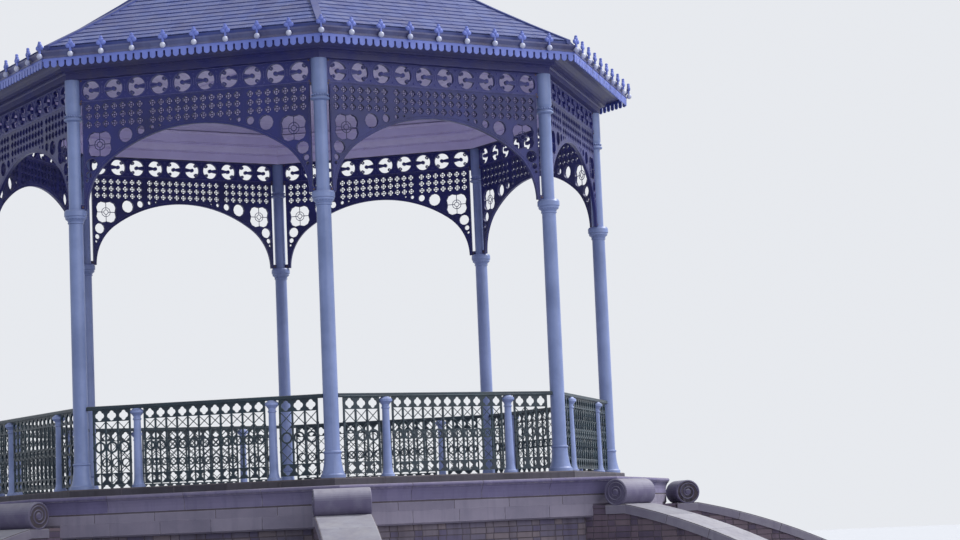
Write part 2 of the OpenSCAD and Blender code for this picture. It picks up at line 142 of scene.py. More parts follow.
# Shader groups shared by the finishes
def makeMottle():
    tree, given, out = newGroup("mottle", {"Scale": 2.0, "Grain": 60.0}, ["Blotch", "Streak", "Fine"])
    place = placeOf(tree)
    tall = stretched(tree, place, (7.0, 7.0, 0.6))
    tree.links.new(noise(tree, place, given["Scale"], 6.0, Roughness=0.62), out["Blotch"])
    tree.links.new(reach(tree, noise(tree, tall, 1.6, 4.0), 0.5, 0.72), out["Streak"])
    tree.links.new(noise(tree, place, given["Grain"], 3.0), out["Fine"])
    return tree


def makeEdgeWear():
    tree, given, out = newGroup("edgeWear", {"Radius": 0.01, "Spread": 0.5}, ["Mask"])
    rounded = put(tree, "ShaderNodeBevel", {"Radius": given["Radius"]}, samples=4).outputs[0]
    near = put(tree, "ShaderNodeVectorMath", {0: rounded, 1: normalOf(tree)}, operation="DOT_PRODUCT").outputs["Value"]
    patch = noise(tree, placeOf(tree), 9.0, 5.0, Roughness=0.7)
    gone = combine(tree, patch, given["Spread"], "ADD")
    tree.links.new(times(tree, reach(tree, near, 0.995, 0.86), reach(tree, gone, 0.85, 1.1)), out["Mask"])
    return tree


# A mask by the way a face points: dust that settles on what faces up, and painted shade with some grime on what faces
# sideways or down
def makeDustAndShade(name, amount, facing, scale, detail, cloud):
    tree, given, out = newGroup(name, {"Amount": amount}, ["Mask"])
    up = put(tree, "ShaderNodeSeparateXYZ", {0: normalOf(tree)}).outputs["Z"]
    patch = noise(tree, placeOf(tree), scale, detail)
    lying = times(tree, reach(tree, up, *facing), reach(tree, patch, *cloud))
    tree.links.new(times(tree, lying, given["Amount"]), out["Mask"])
    return tree


def makeGrain():
    tree, given, out = newGroup("woodGrain", {"Along": (1.0, 14.0, 14.0)}, ["Grain", "Brush"])
    drawn = stretched(tree, placeOf(tree), given["Along"])
    tree.links.new(noise(tree, drawn, 3.0, 7.0, Distortion=0.6), out["Grain"])
    tree.links.new(noise(tree, drawn, 14.0, 2.0), out["Brush"])
    return tree


print("shared shader groups")
mottleGroup = makeMottle()
wearGroup = makeEdgeWear()
dustGroup = makeDustAndShade("dust", 0.4, (0.35, 0.95), 5.0, 4.0, (0.25, 0.65))
# This mask paints shade, with some grime, on what faces sideways or down
shadeAndGrimeGroup = makeDustAndShade("shadeAndGrime", 0.5, (0.75, 0.05), 6.0, 5.0, (0.2, 0.55, 0.6, 1.0))
grainGroup = makeGrain()


# A colour as it looks on a screen, in hundredths of red, green and blue
def rgb(*parts):
    shown = [part / 100 for part in parts]
    return tuple(c / 12.92 if c <= 0.04045 else ((c + 0.055) / 1.055) ** 2.4 for c in shown) + (1.0,)


def group(tree, source, **feeds):
    node = tree.nodes.new("ShaderNodeGroup")
    node.node_tree = source
    for key, value in feeds.items():
        node.inputs[key].default_value = value
    return node.outputs


# Coats of colour over each other, each laid by a mask of its own; a coat that has no mask is left out
def layered(tree, colour, *coats):
    for mask, over in coats:
        if mask is not None:
            colour = blendColour(tree, mask, colour, over)
    return colour


def toneMask(tree, amount):
    return reach(tree, toneOf(tree), 0.0, 1.0, 0.0, amount) if amount else None


def shadeAndGrimeMask(tree, amount):
    return group(tree, shadeAndGrimeGroup, Amount=amount)["Mask"] if amount else None


def startFinish(name):
    material = bpy.data.materials.new(name)
    material.use_nodes = True
    return material, material.node_tree


def closeFinish(material, colour, rough, height, strength, distance, shine=0.5):
    tree = material.node_tree
    shader = tree.nodes["Principled BSDF"]
    bump = put(tree, "ShaderNodeBump", {"Height": height, "Strength": strength, "Distance": distance}).outputs[0]
    for source, word in ((colour, "Base Color"), (rough, "Roughness"), (bump, "Normal")):
        tree.links.new(source, shader.inputs[word])
    shader.inputs["Specular IOR Level"].default_value = shine
    return material


# Oil paint on cast iron, brushed on in many coats, with worn edges and dust on what faces up
def ironPaint(name, main, deep, worn, gloss=0.42, wear=0.5, dust=0.35, streak=0.35, radius=0.008, toned=0.0):
    material, tree = startFinish(name)
    field = group(tree, mottleGroup, Scale=1.7, Grain=140.0)
    fall = group(tree, dustGroup, Amount=dust)["Mask"]
    colour = layered(
        tree, main, (reach(tree, field["Blotch"], 0.35, 0.7), deep),
        (toneMask(tree, toned), worn), (times(tree, field["Streak"], streak), deep),
        (group(tree, wearGroup, Radius=radius, Spread=wear)["Mask"], worn), (fall, rgb(60, 57, 55)))
    rough = combine(tree, reach(tree, field["Fine"], 0.3, 0.7, gloss - 0.06, gloss + 0.1), fall, "ADD", True)
    height = blendColour(tree, 0.5, field["Fine"], field["Blotch"])
    return closeFinish(material, colour, rough, height, strength=0.25, distance=0.002, shine=0.45)


# Dressed or rough stone with lichen blotches, pits and rain streaks, and painted shade with some grime on what faces
# sideways or down
def stoneFinish(name, main, deep, pale, pits=0.3, dust=0.3, streak=0.5, rough=0.82, toned=0.0, shadeAndGrime=0.0,
                sootAndShade=rgb(45, 41, 50)):
    material, tree = startFinish(name)
    field = group(tree, mottleGroup, Scale=2.6, Grain=90.0)
    pit = put(tree, "ShaderNodeTexVoronoi", {"Vector": placeOf(tree), "Scale": 55.0, "Randomness": 1.0})
    # The last coat is painted shade, with some grime, on faces that point sideways or down
    colour = layered(
        tree, main, (reach(tree, field["Blotch"], 0.3, 0.72), deep),
        (toneMask(tree, toned), pale), (times(tree, field["Streak"], streak), deep),
        (group(tree, wearGroup, Radius=0.015, Spread=0.45)["Mask"], pale),
        (group(tree, dustGroup, Amount=dust)["Mask"], rgb(66, 63, 60)), (shadeAndGrimeMask(tree, shadeAndGrime), sootAndShade))
    height = blendColour(tree, pits, field["Fine"], reach(tree, pit.outputs["Distance"], 0.0, 0.35))
    rough = reach(tree, field["Fine"], 0.3, 0.7, rough - 0.08, rough + 0.08)
    return closeFinish(material, colour, rough, height, strength=0.6, distance=0.004)


# Fired brick: each brick carries its own tone, and the faces are sandy with soot in blotches
def brickFinish(name, tones, sootAndShade, sooty=0.5):
    material, tree = startFinish(name)
    field = group(tree, mottleGroup, Scale=1.1, Grain=160.0)
    ramp = put(tree, "ShaderNodeValToRGB", {"Fac": toneOf(tree)})
    ramp.color_ramp.interpolation = "CONSTANT"
    steps = ramp.color_ramp.elements
    steps[0].color, steps[1].color, steps[1].position = tones[0], tones[1], 0.25
    for position, tone in zip((0.5, 0.75), tones[2:]):
        steps.new(position).color = tone
    colour = layered(
        tree, ramp.outputs[0], (times(tree, reach(tree, field["Blotch"], 0.4, 0.7), sooty), sootAndShade),
        (times(tree, field["Streak"], sooty), sootAndShade),
        (reach(tree, field["Fine"], 0.45, 0.7, 0.0, 0.35), rgb(50, 42, 38)),
        (times(tree, group(tree, wearGroup, Radius=0.006, Spread=0.5)["Mask"], 0.5), rgb(55, 47, 43)))
    rough = reach(tree, field["Fine"], 0.3, 0.7, 0.78, 0.95)
    return closeFinish(material, colour, rough, field["Fine"], strength=0.7, distance=0.004)


# Painted boards and mouldings, with the grain just showing through the paint
def woodPaint(name, main, deep, worn, along, gloss=0.5):
    material, tree = startFinish(name)
    field = group(tree, mottleGroup, Scale=1.3, Grain=70.0)
    wood = group(tree, grainGroup, Along=along)
    colour = layered(
        tree, main, (reach(tree, field["Blotch"], 0.35, 0.75), deep),
        (reach(tree, wood["Grain"], 0.52, 0.72, 0.0, 0.4), deep),
        (group(tree, wearGroup, Radius=0.008, Spread=0.42)["Mask"], worn))
    rough = reach(tree, wood["Brush"], 0.3, 0.7, gloss - 0.05, gloss + 0.12)
    height = blendColour(tree, 0.4, wood["Grain"], wood["Brush"])
    return closeFinish(material, colour, rough, height, strength=0.3, distance=0.003)


# Colours that several finishes share, then the finishes. The numbers of an iron paint are its gloss, wear, dust and
# streaks; those of a stone are its pits, dust, streaks, roughness, difference between stones, and painted shade with
# some grime on what faces sideways or down
print("finishes")
columnDeep, columnWorn = rgb(45, 51, 69), rgb(47, 44, 46)
lace, laceWorn, frieze = rgb(14, 16, 45), rgb(40, 40, 55), rgb(17, 18, 46)
beam = rgb(25, 24, 40)
sheet = (rgb(28, 33, 58), rgb(21, 25, 49), rgb(37, 43, 66))
finish = {
    "column": ironPaint("columnPaint", rgb(55, 61, 80), columnDeep, columnWorn, 0.38, 0.35, 0.3, 0.5),
    "post": ironPaint("postPaint", rgb(62, 68, 88), columnDeep, columnWorn, 0.4, 0.42, 0.3, 0.5),
    "rail": ironPaint("railPaint", rgb(11, 20, 25), rgb(8, 13, 19), rgb(36, 45, 48), 0.4, 0.5, 0.3),
    "lace": ironPaint("lacePaint", lace, rgb(10, 11, 33), laceWorn, 0.42, 0.5, 0.25),
    "frieze": ironPaint("friezePaint", frieze, lace, laceWorn, 0.42, 0.5, 0.25),
    "relief": ironPaint("reliefPaint", rgb(26, 27, 54), frieze, rgb(50, 50, 66), 0.4, 0.6, 0.3),
    "beam": ironPaint("beamPaint", beam, lace, laceWorn, 0.5, 0.4, 0.2),
    "gutter": ironPaint("gutterPaint", rgb(40, 43, 62), beam, rgb(55, 50, 50), 0.45, 0.5, 0.4),
    "trim": ironPaint("trimPaint", rgb(50, 56, 88), rgb(39, 45, 76), rgb(46, 43, 46), 0.4, 0.4, 0.2),
    "ball": ironPaint("ballPaint", rgb(86, 87, 94), rgb(66, 68, 82), rgb(55, 52, 52), 0.3, 0.3, 0.2),
    "roof": ironPaint("roofSheet", *sheet, 0.5, 0.4, 0.35),
    "bolt": ironPaint("boltIron", rgb(34, 33, 38), rgb(25, 22, 24), rgb(46, 33, 26), 0.5, 0.6, 0.2),
    "tile": ironPaint("roofTile", *sheet, 0.48, 0.4, 0.3, 0.5, 0.006, 0.55),
    # The last number of the coping and the roll paints shade, with some grime, on their sideways and downward faces
    "coping": stoneFinish("copingStone", rgb(60, 60, 64), rgb(49, 48, 54), rgb(80, 79, 82),
                          0.35, 0.2, 0.5, 0.8, 0.4, 0.65),
    # The rolls are a shaded copy of the coping stone: stronger painted shade in a darker colour on what faces sideways
    # or down, and darker pale edges
    "roll": stoneFinish("rollStonePaintedShade", rgb(60, 59, 65), rgb(48, 46, 54), rgb(66, 65, 71),
                        0.35, 0.2, 0.5, 0.8, 0.3, 0.85, rgb(33, 30, 43)),
    # The edge stones are coloured darker than the band stones below them, as painted shade under the nosing
    "edge": stoneFinish("edgeStonePaintedShade", rgb(42, 39, 55), rgb(35, 33, 47), rgb(64, 61, 69),
                        0.3, 0.4, 0.5, 0.8, 0.3),
    "band": stoneFinish("bandStone", rgb(53, 50, 58), rgb(45, 43, 51), rgb(66, 63, 70),
                        0.3, 0.4, 0.5, 0.8, 0.3),
    "kerb": stoneFinish("kerbStone", rgb(27, 26, 31), rgb(18, 17, 21), rgb(42, 40, 44),
                        0.3, 0.4, 0.5, 0.75, 0.3),
    "mortar": stoneFinish("limeMortar", rgb(38, 36, 41), rgb(28, 24, 26), rgb(52, 47, 46),
                          0.5, 0.2, 0.6, 0.92),
    "floor": stoneFinish("floorTile", rgb(68, 66, 70), rgb(52, 50, 55), rgb(78, 76, 78),
                         0.1, 0.5, 0.1, 0.6, 0.5),
    "brick": brickFinish("wallBrick", [rgb(43, 41, 50), rgb(48, 45, 51), rgb(39, 37, 49),
                                       rgb(51, 47, 51)], rgb(26, 24, 31)),
    "buttress": brickFinish("buttressBrick", [rgb(41, 36, 45), rgb(45, 39, 46), rgb(36, 32, 42),
                                              rgb(48, 42, 47)], rgb(24, 21, 29)),
    "cream": woodPaint("creamMoulding", rgb(89, 86, 99), rgb(81, 77, 92), rgb(62, 50, 47), (3.0, 3.0, 20.0)),
    "board": woodPaint("ceilingBoard", rgb(88, 85, 99), rgb(79, 75, 91), rgb(72, 66, 75), (4.0, 4.0, 12.0)),
}
nodeFinish = {
    "mortar": ["base_walls", "buttress_walls", "buttress_copings", "platform_edge", "floor", "kerb"],
    "post": ["rail_posts"], "beam": ["ring_beam"], "cream": ["cornice", "ceiling"], "gutter": ["gutter"],
    "trim": ["fringe", "crest_ornaments", "finial"], "roof": ["roof"],
    "column": [f"column_{k}" for k in everyBay], "frieze": [f"frieze_{k}" for k in everyBay],
    "lace": [f"arch_lace_{k}" for k in everyBay], "rail": [f"railing_{k}" for k in everyBay],
}
for key, names in nodeFinish.items():
    for name in names:
        nodes[name].data.materials.clear()
        nodes[name].data.materials.append(finish[key])


def asPiece(name, mesh, key):
    piece = bpy.data.objects.new(name, mesh)
    scene.collection.objects.link(piece)
    mesh.materials.clear()
    mesh.materials.append(finish[key])
    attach(piece, "root")
    print(name, len(mesh.polygons), "faces")


def toMesh(name, bm):
    bmesh.ops.recalc_face_normals(bm, faces=bm.faces)
    mesh = bpy.data.meshes.new(name)
    bm.to_mesh(mesh)
    bm.free()
    return mesh


# Closed solids, each given as (rings of points, tone); a shape that is set on points gets its tone there instead
def solidMesh(name, solids, toned=True):
    bm = bmesh.new()
    layer = bm.verts.layers.float.new("tone") if toned else None
    for rings, tone in solids:
        made = [[bm.verts.new(p) for p in ring] for ring in rings]
        n = len(made[0])
        bm.faces.new(made[0][::-1])
        bm.faces.new(made[-1])
        for low, high in zip(made, made[1:]):
            for i in range(n):
                bm.faces.new((low[i], low[(i + 1) % n], high[(i + 1) % n], high[i]))
        if toned:
            for vert in (vert for ring in made for vert in ring):
                vert[layer] = tone
    return toMesh(name, bm)


def buildPiece(name, solids, key):
    asPiece(name, solidMesh(name, solids), key)


# Convex outlines are cut by the lines of another convex outline; both run anticlockwise
def cutOutline(outline, region):
    kept = list(outline)
    for i, a in enumerate(region):
        b = region[(i + 1) % len(region)]
        nx, ny = a[1] - b[1], b[0] - a[0]
        result = []
        for j, p in enumerate(kept):
            q = kept[(j + 1) % len(kept)]
            dp, dq = (nx * (point[0] - a[0]) + ny * (point[1] - a[1]) for point in (p, q))
            if dp >= 0:
                result.append(p)
            if dp * dq < 0:
                t = dp / (dp - dq)
                result.append((p[0] + (q[0] - p[0]) * t, p[1] + (q[1] - p[1]) * t))
        kept = result
        if len(kept) < 3:
            return []
    return kept


def outlineArea(points):
    return sum(p[0] * points[i - 1][1] - points[i - 1][0] * p[1] for i, p in enumerate(points)) / -2


# Rings of a block over a flat outline: sunk behind the surface, proud of it, with a chamfer round its face
def blockRings(points, place, sizes, extra=0.0):
    cx, cy = (sum(p[i] for p in points) / len(points) for i in (0, 1))
    proud, chamfer, rings = sizes["proud"] + extra, sizes["chamfer"], []
    for height, inset in ((-sizes["sunk"], 0.0), (proud - chamfer, 0.0), (proud, chamfer)):
        ring = []
        for x, y in points:
            s = 1 - min(0.45, 1.3 * inset / max(hypot(x - cx, y - cy), 1e-6))
            ring.append(place(cx + (x - cx) * s, cy + (y - cy) * s, height))
        rings.append(ring)
    return rings


def shrunk(ring, by):
    centre = sum((Vector(p) for p in ring), Vector()) / len(ring)
    return [centre + (Vector(p) - centre) * (1 - min(0.4, by / max((Vector(p) - centre).length, 1e-6))) for p in ring]


# The line that runs a little outside a closed outline
def grown(outline, by):
    n, result = len(outline), []
    turn = 1 if outlineArea(outline) > 0 else -1
    for i, p in enumerate(outline):
        a = Vector(p) - Vector(outline[i - 1])
        b = Vector(outline[(i + 1) % n]) - Vector(p)
        na, nb = (Vector((side.y, -side.x)).normalized() * turn for side in (a, b))
        m = (na + nb).normalized()
        result.append(Vector(p) + m * by / max(0.5, m.dot(na)))
    return result


# A repeatable spread of numbers from 0 to 1
def spread(*keys):
    value = 0.0
    for i, key in enumerate(keys):
        value += sin(12.9898 * (key + 1) + 78.233 * i) * 43758.5453
    return value - floor(value)


def newTree(name, inputs):
    tree = bpy.data.node_groups.new(name, "GeometryNodeTree")
    for label, kind in inputs.items():
        tree.interface.new_socket(label, in_out="INPUT", socket_type="NodeSocket" + kind)
    tree.interface.new_socket("Result", in_out="OUTPUT", socket_type="NodeSocketGeometry")
    return tree, tree.nodes.new("NodeGroupInput").outputs


def closeTree(tree, given, shape):
    solid = put(tree, "GeometryNodeRealizeInstances", {"Geometry": shape}).outputs[0]
    dressed = put(tree, "GeometryNodeSetMaterial", {"Geometry": solid, "Material": given["Finish"]}).outputs[0]
    tree.links.new(dressed, tree.nodes.new("NodeGroupOutput").inputs[0])
    return tree


# One tree sets a shape on points, with each point's own turn and size
def makeRepeatTree():
    tree, given = newTree("setOnPoints", {"Points": "Geometry", "Shape": "Object", "Finish": "Material",
                                          "Lean": "Float", "Seed": "Int"})
    turn, size = [put(tree, "GeometryNodeInputNamedAttribute", {"Name": word}, data_type="FLOAT_VECTOR").outputs[0]
                  for word in ("turn", "size")]
    under = combine(tree, given["Lean"], -1.0, "MULTIPLY")
    lean = put(tree, "FunctionNodeRandomValue", {"Seed": given["Seed"]}, data_type="FLOAT_VECTOR")
    for socket in [s for s in lean.inputs if s.type == "VECTOR"]:
        tree.links.new(under if socket.name == "Min" else given["Lean"], socket)
    total = put(tree, "ShaderNodeVectorMath", {0: turn, 1: lean.outputs[0]}, operation="ADD").outputs[0]
    angle = put(tree, "FunctionNodeEulerToRotation", {0: total}).outputs[0]
    shape = put(tree, "GeometryNodeObjectInfo", {"Object": given["Shape"], "As Instance": True}).outputs["Geometry"]
    copies = put(tree, "GeometryNodeInstanceOnPoints", {
        "Points": given["Points"], "Instance": shape, "Rotation": angle, "Scale": size}).outputs[0]
    tone = put(tree, "FunctionNodeRandomValue", {"Seed": given["Seed"]}, data_type="FLOAT")
    marked = put(tree, "GeometryNodeStoreNamedAttribute", {"Geometry": copies, "Name": "tone"},
                 data_type="FLOAT", domain="INSTANCE")
    tree.links.new([s for s in tone.outputs if s.type == "VALUE" and s.enabled][0],
                   [s for s in marked.inputs if s.name == "Value" and s.enabled][0])
    return closeTree(tree, given, marked.outputs[0])


# Another tree turns lines into round beads
def makeBeadTree():
    tree, given = newTree("beadOnLines", {"Lines": "Geometry", "Radius": "Float", "Sides": "Int", "Finish": "Material"})
    line = put(tree, "GeometryNodeMeshToCurve", {"Mesh": given["Lines"]}).outputs[0]
    circle = put(tree, "GeometryNodeCurvePrimitiveCircle", {"Resolution": given["Sides"], "Radius": given["Radius"]})
    bead = put(tree, "GeometryNodeCurveToMesh", {"Curve": line, "Profile Curve": circle.outputs[0], "Fill Caps": True})
    return closeTree(tree, given, bead.outputs[0])


repeatTree = makeRepeatTree()
beadTree = makeBeadTree()


def runTree(name, mesh, tree, values, key):
    base = bpy.data.objects.new(name + "Base", mesh)
    scene.collection.objects.link(base)
    modifier = base.modifiers.new("make", "NODES")
    modifier.node_group = tree
    values["Finish"] = finish[key]
    for item in tree.interface.items_tree:
        if item.item_type == "SOCKET" and item.in_out == "INPUT" and item.name in values:
            modifier[item.identifier] = values[item.name]
    bpy.context.view_layer.update()
    graph = bpy.context.evaluated_depsgraph_get()
    made = bpy.data.meshes.new_from_object(base.evaluated_get(graph), preserve_all_data_layers=True, depsgraph=graph)
    base.modifiers.clear()
    bpy.data.objects.remove(base)
    asPiece(name, made, key)


# spots are (place matrix, size) in the frame of the stand
def setOnPoints(name, shapeMesh, spots, key, lean=0.0, seed=7):
    mesh = bpy.data.meshes.new(name + "Spots")
    mesh.from_pydata([tuple(m.translation) for m, _ in spots], [], [])
    turns = mesh.attributes.new("turn", "FLOAT_VECTOR", "POINT")
    sizes = mesh.attributes.new("size", "FLOAT_VECTOR", "POINT")
    for i, (m, size) in enumerate(spots):
        turns.data[i].vector = m.to_euler()
        sizes.data[i].vector = size
    shape = bpy.data.objects.new(name + "Shape", shapeMesh)
    scene.collection.objects.link(shape)
    runTree(name, mesh, repeatTree, {"Shape": shape, "Lean": lean, "Seed": seed}, key)
    bpy.data.objects.remove(shape)


# lines are (points, closed) in the frame of the stand
def beadOnLines(name, lines, radius, sides, key):
    verts, edges = [], []
    for line, closed in lines:
        first = len(verts)
        verts += [tuple(p) for p in line]
        edges += [(first + i, first + i + 1) for i in range(len(line) - 1)]
        if closed:
            edges.append((len(verts) - 1, first))
    mesh = bpy.data.meshes.new(name + "Lines")
    mesh.from_pydata(verts, edges, [])
    runTree(name, mesh, beadTree, {"Radius": radius, "Sides": sides}, key)


# Brickwork of the base, in Flemish bond between the buttresses
brickwork = {"stretcher": 0.225, "header": 0.1125, "joint": 0.010, "courses": 18, "plinthCourses": 3,
             "buttressCourses": 21, "buttressWide": 0.61, "proud": 0.005, "sunk": 0.012, "chamfer": 0.003,
             "wobble": 0.0015, "lean": 0.004, "least": 0.0004, "underSteps": 12}
buttressHalf = brickwork["buttressWide"] / 2
brickLong = brickwork["stretcher"] - brickwork["joint"]


# One course at a time: (start, end) of each brick from 0
def bondCourse(width, course):
    stretcher, header, joint = (brickwork[word] for word in ("stretcher", "header", "joint"))
    x = -stretcher - header if course % 2 else -stretcher - header + (stretcher - header) / 2 + header / 2 + joint
    spans, long = [], course % 2 == 0
    while x < width:
        size = stretcher if long else header
        spans.append((max(0.0, x), min(width, x + size - joint)))
        x += size
        long = not long
    return [(a, b) for a, b in spans if b - a > 0.02]


# One metre tall, so that each course can squeeze it to its own height; the chamfer is stretched to match
def brickRings():
    square = [(-brickLong / 2, -0.5), (brickLong / 2, -0.5), (brickLong / 2, 0.5), (-brickLong / 2, 0.5)]
    proud, chamfer = brickwork["proud"], brickwork["chamfer"]
    return [[(x - copysign(inset, x), -height, z - copysign(inset * 14, z)) for x, z in square]
            for height, inset in ((-brickwork["sunk"], 0.0), (proud - chamfer, 0.0), (proud, chamfer))]


def layWalls():
    spots = []
    for zone, low, high, courses in (
            (wallA, plan["plinthHigh"], floorZ - plan["edgeHeight"] - plan["courseHigh"], brickwork["courses"]),
            (wallA + plan["plinthOut"], 0.0, plan["plinthHigh"], brickwork["plinthCourses"])):
        wide = 2 * (zone * slant - buttressHalf / cos(halfTurn))
        pitch = (high - low) / courses
        for c in range(courses):
            for a, b in bondCourse(wide, c):
                place = Matrix.Translation(((a + b - wide) / 2, -zone, low + (c + 0.5) * pitch))
                spots += [(toBay(k) @ place, ((b - a) / brickLong, 1.0, pitch - brickwork["joint"])) for k in everyBay]
    brick = solidMesh("brick", [(brickRings(), 0.0)], False)
    setOnPoints("wallBricks", brick, spots, "brick", brickwork["lean"], seed=11)


print("brickwork")
layWalls()

# Curve of the buttresses, drawn with x as the distance from the centre of the plan
slope = {"rollOut": 1.05, "roll": 0.33, "rollBack": 0.42, "radius": 9.0, "start": radians(12), "coping": 0.11,
         "over": 0.03, "foot": 0.4, "footBase": 0.11, "footCap": 0.09, "bed": 0.012}
rollX = columnR + slope["rollOut"]
rollIn = rollX - slope["roll"] / 2
slopeX = rollX + slope["rollBack"] * slope["roll"]
slopeZ = floorZ - plan["edgeHeight"]
turnX = slopeX - slope["radius"] * sin(slope["start"])
turnZ = slopeZ - slope["radius"] * cos(slope["start"])
footTop = slope["footBase"] + slope["footCap"]
footZ = footTop + slope["roll"] - slope["bed"]
slopeEnd = acos((footZ - turnZ) / slope["radius"])
footX = turnX + slope["radius"] * sin(slopeEnd)
footEnd = footX + slope["foot"]


def buttressBricks():
    startX = (wallA - buttressHalf * sin(halfTurn)) / cos(halfTurn)
    top = slopeZ - slope["coping"]
    pitch = top / brickwork["buttressCourses"]
    tall = pitch - brickwork["joint"]
    under = [(startX, 0.0), (footX, 0.0)]
    for i in range(brickwork["underSteps"] + 1):
        x = footX + (slopeX - footX) * i / brickwork["underSteps"]
        under.append((x, turnZ + sqrt((slope["radius"] - slope["coping"]) ** 2 - (x - turnX) ** 2)))
    under.append((startX, top))
    head = [(startX, top), (rollIn, top), (rollIn, slopeZ), (startX, slopeZ)]
    foot = [(footX, 0.0), (footEnd, 0.0), (footEnd, slope["footBase"]), (footX, slope["footBase"])]
    for region in (under, head, foot):
        left, low = region[0]
        for c in range(ceil((max(p[1] for p in region) - low) / pitch)):
            z = low + c * pitch
            for a, b in bondCourse(max(p[0] for p in region) - left, c):
                a, b = a + left, b + left
                outline = cutOutline([(a, z), (b, z), (b, z + tall), (a, z + tall)], region)
                if len(outline) < 3 or outlineArea(outline) < brickwork["least"]:
                    continue
                for k in everyBay:
                    turn = toCorner(k)
                    for s in (-1, 1):
                        wobble = brickwork["wobble"] * spread(k, c, a, s)
                        yield blockRings(outline, lambda x, y, h: turn @ Vector((x, s * (buttressHalf + h), y)),
                                         brickwork, wobble), spread(k, c + 1, 9 * a, s)


buildPiece("buttressBricks", buttressBricks(), "buttress")

# Coping stones, rolls and foot stones; the lathe gives (distance past the side, radius) from the roll's centre outwards
coping = {"stones": 5, "proud": 0.004, "chamfer": 0.005, "gap": 0.005, "round": 0.02, "ends": 0.002, "rollSides": 40,
          "lathe": [(0.010, 0.018), (0.009, 0.030), (0.001, 0.040), (-0.004, 0.044), (-0.004, 0.146), (0.002, 0.149),
                    (0.002, 0.158), (-0.008, 0.169)],
          "spiralTurns": 1.8, "spiralInner": 0.045, "spiralOuter": 0.138, "spiralBar": 0.009, "spiralPoints": 48,
          "spiralCurve": 0.85, "spiralSunk": 0.003}
copingHalf = buttressHalf + slope["over"] + coping["proud"]
rollPlaces = [(rollX, slopeZ + slope["roll"] / 2 - slope["bed"]),
              (footX + slope["roll"] / 2, footZ - slope["roll"] / 2)]


def copingSection(low, high):
    b, c = copingHalf, coping["round"]
    low, high = low - coping["proud"], high + coping["proud"]
    return [(low, -b), (low, b), (high - c, b), (high - 0.3 * c, b - 0.3 * c), (high, b - c), (high, c - b),
            (high - 0.3 * c, 0.3 * c - b), (high - c, -b)]


def copingStones():
    radius, chamfer, ends = slope["radius"], coping["chamfer"], coping["ends"]
    section = copingSection(radius - slope["coping"], radius)
    step = (slopeEnd - slope["start"]) / coping["stones"]
    gap, nib = coping["gap"] / radius / 2, chamfer / radius
    for k in everyBay:
        turn = toCorner(k)

        def arcRing(angle, cut=False):
            angles = [asin((footX - ends - turnX) / r) if cut else angle for r, _ in section]
            return [turn @ Vector((turnX + r * sin(a), y, turnZ + r * cos(a))) for a, (r, y) in zip(angles, section)]

        for i in range(coping["stones"]):
            a0, a1 = slope["start"] + i * step + gap, slope["start"] + (i + 1) * step - gap
            rings = [shrunk(arcRing(a0), chamfer), arcRing(a0 + nib)]
            rings += [arcRing(a0 + (a1 - a0) * j / 4) for j in range(1, 4)]
            last = i == coping["stones"] - 1
            rings += [arcRing(a1, True)] if last else [arcRing(a1 - nib), shrunk(arcRing(a1), chamfer)]
            yield rings, spread(k, i, 3)
        for low, high, x0, x1 in (
                (slopeZ - slope["coping"], slopeZ, rollIn, slopeX),
                (slope["footBase"], footTop, footX, footEnd + slope["over"])):
            block = copingSection(low, high)
            x0, x1 = x0 + ends, x1 - ends
            rings = [[turn @ Vector((x, y, z)) for z, y in block] for x in (x0, x0 + chamfer, x1 - chamfer, x1)]
            yield [shrunk(rings[0], chamfer), *rings[1:3], shrunk(rings[3], chamfer)], spread(k, low, 5)


def rollStones():
    lathe = [(copingHalf + out, r) for out, r in coping["lathe"]]
    lathe += [(-y, r) for y, r in lathe[::-1]]
    for k in everyBay:
        turn = toCorner(k)
        for x, z in rollPlaces:
            yield [[turn @ Vector((u, y, v)) for u, v in circleLine(x, z, r, coping["rollSides"])]
                   for y, r in lathe], spread(k, x, 8)


def spiralLine(x, z):
    n, line = coping["spiralPoints"], []
    for i in range(n + 1):
        r = coping["spiralOuter"] + (coping["spiralInner"] - coping["spiralOuter"]) * (i / n) ** coping["spiralCurve"]
        line.append(polar(r, 2 * pi * coping["spiralTurns"] * (i / n), x, z))
    return line


buildPiece("copingStones", copingStones(), "coping")
buildPiece("rollStones", rollStones(), "roll")
spiralY = copingHalf - coping["spiralSunk"]
spiralLines = [([toCorner(k) @ Vector((u, s * spiralY, v)) for u, v in spiralLine(x, z)], False)
               for k in everyBay for x, z in rollPlaces for s in (-1, 1)]
beadOnLines("rollSpirals", spiralLines, coping["spiralBar"], 6, "roll")

